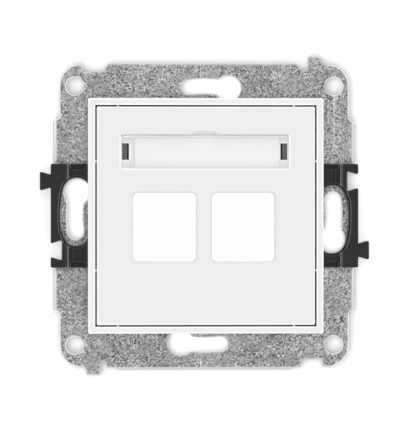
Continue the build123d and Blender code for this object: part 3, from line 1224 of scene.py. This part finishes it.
def aimed(towards: Vector) -> Euler:
    """The turn that makes a lamp or a camera look along a direction, with +Z up."""
    return towards.to_track_quat("-Z", "Y").to_euler()


@dataclass(frozen=True)
class Softbox:
    """A square area light, aimed at the insert.

    Args:
        name: Its name.
        place: Where it stands, in metres.
        size: Its width, in metres.
        power: Its power, in watts.
    """

    name: str
    place: tuple[float, float, float]
    size: float
    power: float

    def put_up(self) -> None:
        """Adds the light."""
        light = bpy.data.lights.new(self.name, "AREA")
        light.shape = "SQUARE"
        light.size = self.size
        light.energy = self.power
        lamp = add_to_scene(bpy.data.objects.new(self.name, light))
        lamp.location = self.place
        lamp.rotation_euler = aimed(-Vector(self.place))
        lamp.visible_camera = False


@dataclass(frozen=True)
class BackCard:
    """White card just behind the plate that shows its soft shadow and nothing else.

    Args:
        depth: How far behind the plate's rear face it stands, in metres.
        opening: Half the width of its square opening behind the ports, in metres.
        spread: How many times as wide as the opening it is.
        power: The strength of the light that falls on the card alone.
        lamp_from: Where that light comes from.
        softness: The angle over which that light is spread.
    """

    depth: float = 1.05 * MM
    opening: float = 26.4 * MM
    spread: float = 45.0
    power: float = 5.4
    lamp_from: tuple[float, float, float] = (-0.28, -1.0, -0.17)
    softness: float = math.radians(80)

    def put_up(self, casting: Iterable[bpy.types.Object]) -> None:
        """Adds the card and its light.

        Args:
            casting: The only nodes whose shadows fall on the card.
        """
        turn = ((-1, -1), (-1, 1), (1, 1), (1, -1))
        count = len(turn)
        reaches = (self.opening, self.opening * self.spread)
        points = [(x * reach, self.depth, z * reach) for reach in reaches for x, z in turn]
        sides = [(i, (i + 1) % count, (i + 1) % count + count, i + count) for i in range(count)]
        mesh = bpy.data.meshes.new("back_card")
        mesh.from_pydata(points, [], sides)
        mesh.materials.append(StudioCard().make())
        card = add_to_scene(bpy.data.objects.new("back_card", mesh))
        for ray in Ray:
            setattr(card, ray.value, False)
        self._light_alone(card, casting)

    def _light_alone(self, card: bpy.types.Object, casting: Iterable[bpy.types.Object]) -> None:
        """Adds an even light that falls on the card and on nothing else.

        Args:
            card: The card.
            casting: The only nodes whose shadows fall on it.
        """
        light = bpy.data.lights.new("card_light", "SUN")
        light.energy = self.power
        light.angle = self.softness
        lamp = add_to_scene(bpy.data.objects.new("card_light", light))
        lamp.rotation_euler = aimed(-Vector(self.lamp_from))
        linking = lamp.light_linking
        linking.receiver_collection = self._collected("lit_by_card_light", [card])
        linking.blocker_collection = self._collected("casting_on_card", casting)

    @staticmethod
    def _collected(name: str, pieces: Iterable[bpy.types.Object]) -> bpy.types.Collection:
        """Gathers objects for a light.

        Args:
            name: The collection's name.
            pieces: What goes into it.

        Returns:
            The collection.
        """
        collection = bpy.data.collections.new(name)
        for piece in pieces:
            collection.objects.link(piece)
        return collection


@dataclass
class Studio:
    """Pale floor, even white surroundings, soft lights and the camera.

    Args:
        floor_height: The height of the floor, in metres.
        floor_size: The width of the floor, in metres.
        surround: The strength of the even white surroundings.
        azimuth: Where the camera stands, in degrees: nought in front, below nought to the left.
        elevation: How high it stands, in degrees.
        distance: How far away it stands, in metres.
        frame_height: The height of what it sees at that distance, in metres.
        sensor: The width of its sensor, in millimetres.
        clip: The nearest and the farthest that it sees, in metres.
        aim: The point that it looks at, in metres.
        card: The card behind the plate.
        lights: The soft lights.
    """

    floor_height: float = -0.1
    floor_size: float = 12.0
    surround: float = 0.99
    azimuth: float = -2.4
    elevation: float = 0.25
    distance: float = 0.8
    frame_height: float = 0.10035
    sensor: float = 36.0
    clip: tuple[float, float] = (0.05, 20.0)
    aim: tuple[float, float, float] = (-0.00102, -0.001, -0.00019)
    card: BackCard = BackCard()
    lights: tuple[Softbox, ...] = (
        Softbox("left", (-0.9, -0.1, 0.2), 0.34, 0.8),
        Softbox("right", (0.9, -0.1, 0.2), 0.34, 0.8),
        Softbox("above", (0.0, -0.2, 0.92), 0.34, 1.2),
    )

    def build(self, casting: Iterable[bpy.types.Object]) -> None:
        """Sets up the floor, the light, the card and the camera.

        Args:
            casting: The only nodes whose shadows fall on the card.
        """
        self._lay_floor()
        self._light()
        self.card.put_up(casting)
        self._aim_camera()

    def _lay_floor(self) -> None:
        """A flat floor below the insert."""
        half = self.floor_size / 2
        mesh = bpy.data.meshes.new("floor")
        corners = [(-half, -half, 0), (half, -half, 0), (half, half, 0), (-half, half, 0)]
        mesh.from_pydata(corners, [], [(0, 1, 2, 3)])
        mesh.materials.append(StudioFloor().make())
        floor = add_to_scene(bpy.data.objects.new("floor", mesh))
        floor.location = (0, 0, self.floor_height)

    def _light(self) -> None:
        """Even white surroundings and the soft boxes."""
        world = bpy.data.worlds.new("studio")
        world.use_nodes = True
        background = world.node_tree.nodes["Background"]
        background.inputs["Color"].default_value = (1.0, 1.0, 1.0, 1.0)
        background.inputs["Strength"].default_value = self.surround
        bpy.context.scene.world = world
        bpy.context.scene.view_settings.view_transform = "Standard"
        for softbox in self.lights:
            softbox.put_up()

    def _aim_camera(self) -> None:
        """A long lens, nearly square to the plate."""
        azimuth, elevation = math.radians(self.azimuth), math.radians(self.elevation)
        level = math.cos(elevation)
        back = Vector(
            (math.sin(azimuth) * level, -math.cos(azimuth) * level, math.sin(elevation))
        )
        lens = bpy.data.cameras.new("camera")
        lens.sensor_width = self.sensor
        lens.lens = self.sensor * self.distance / self.frame_height
        lens.clip_start, lens.clip_end = self.clip
        camera = add_to_scene(bpy.data.objects.new("camera", lens))
        camera.location = Vector(self.aim) + back * self.distance
        camera.rotation_euler = aimed(-back)
        bpy.context.scene.camera = camera


@dataclass
class KeystoneInsert:
    """The whole insert, sub-assembly by sub-assembly.

    Args:
        plate: The steel plate.
        mouldings: The black pieces.
        front: The white pieces.
        label: The label and its window.
        screws: The screws behind.
    """

    plate: SupportPlate = field(default_factory=SupportPlate)
    mouldings: BlackMouldings = field(default_factory=BlackMouldings)
    front: WhiteFront = field(default_factory=WhiteFront)
    label: LabelField = field(default_factory=LabelField)
    screws: CarrierScrews = field(default_factory=CarrierScrews)

    def build(self, nodes: Nodes) -> None:
        """Dresses every sub-assembly in order."""
        for part in (self.plate, self.mouldings, self.front, self.label, self.screws):
            part.build(nodes)


def corners(box: tuple[Vector, Vector]) -> list[list[float]]:
    """A box as two plain lists."""
    return [list(corner) for corner in box]


def main() -> None:
    """Loads the frame, dresses the insert and sets up the studio."""
    logging.basicConfig(level=logging.INFO, format="%(name)s: %(message)s")
    for leftover in list(bpy.data.objects):
        bpy.data.objects.remove(leftover)
    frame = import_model()
    KeystoneInsert().build(frame["nodes"])
    Studio().build([frame["nodes"]["support_plate"]])


if __name__ == "__main__":
    main()
